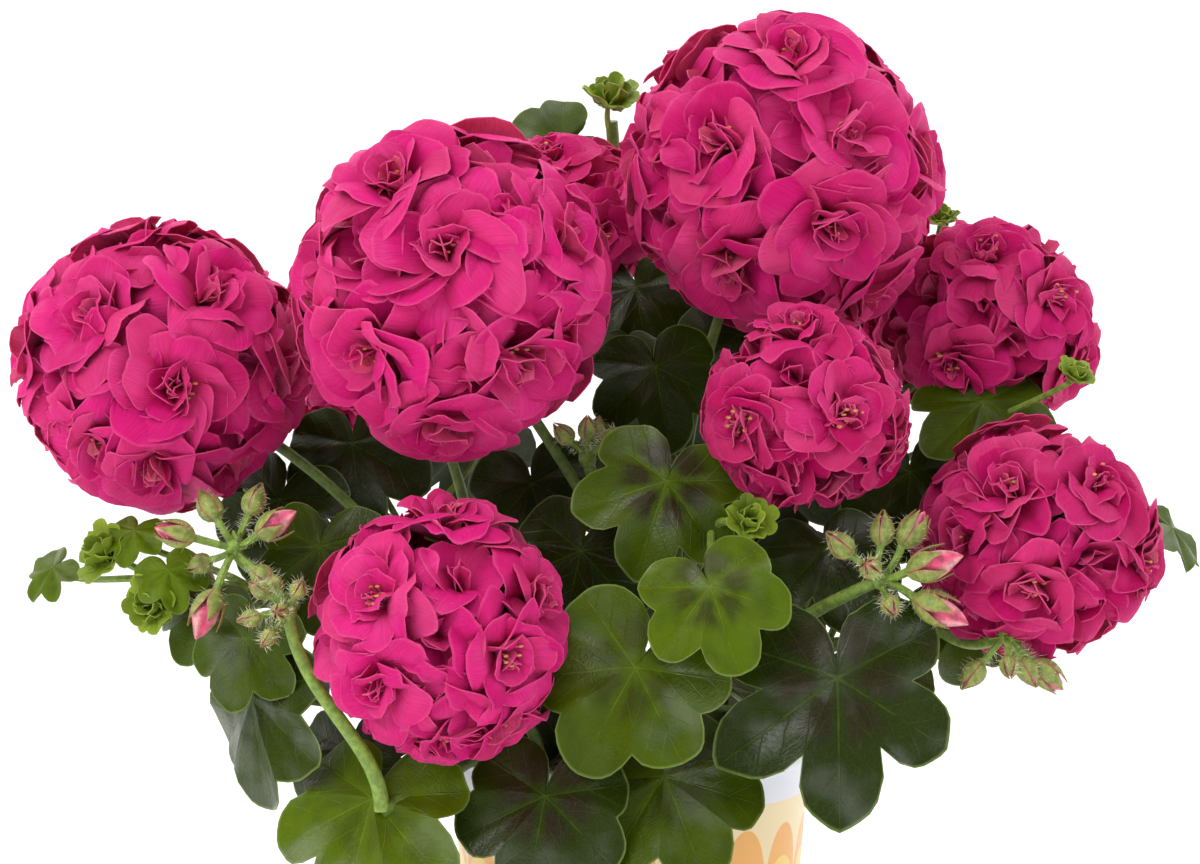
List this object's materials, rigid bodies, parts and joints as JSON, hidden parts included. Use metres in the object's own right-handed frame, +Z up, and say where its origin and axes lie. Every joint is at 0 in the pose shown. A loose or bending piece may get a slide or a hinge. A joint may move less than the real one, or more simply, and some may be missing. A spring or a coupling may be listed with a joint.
{
  "type": "potted ivy geranium",
  "caption": "Trailing pelargonium with round heads of double magenta flowers, bud umbels and lobed ivy leaves, planted in a round tapered nursery pot.",
  "frame": {"origin": "centre of the pot's underside", "axes": "+Z up, along the pot's axis; +X to the viewer's right; -Y towards the viewer, the side of the plant that the picture shows"},
  "size_m": [0.3921, 0.2532, 0.3454],
  "materials": {
    "pot": "satin",
    "soil": "matte",
    "leaf": "satin",
    "petal": "matte",
    "bud": "satin"
  },
  "bodies": {
    "root": {"pot": "pot", "soil": "soil", "shoot_left": "leaf", "shoot_front_left": "leaf", "shoot_front": "leaf", "shoot_centre": "leaf", "shoot_front_right": "leaf", "shoot_right": "leaf", "shoot_back_right": "leaf", "shoot_back": "leaf", "shoot_back_left": "leaf", "head_left": "petal", "head_centre_left": "petal", "head_back_centre": "petal", "head_top": "petal", "head_right": "petal", "head_centre": "petal", "head_low_right": "petal", "head_low_left": "petal", "head_back_left": "petal", "head_back_right": "petal", "buds_left": "bud", "buds_low_left": "bud", "buds_right": "bud", "buds_low_right": "bud", "buds_centre": "bud"}
  },
  "joints": []
}
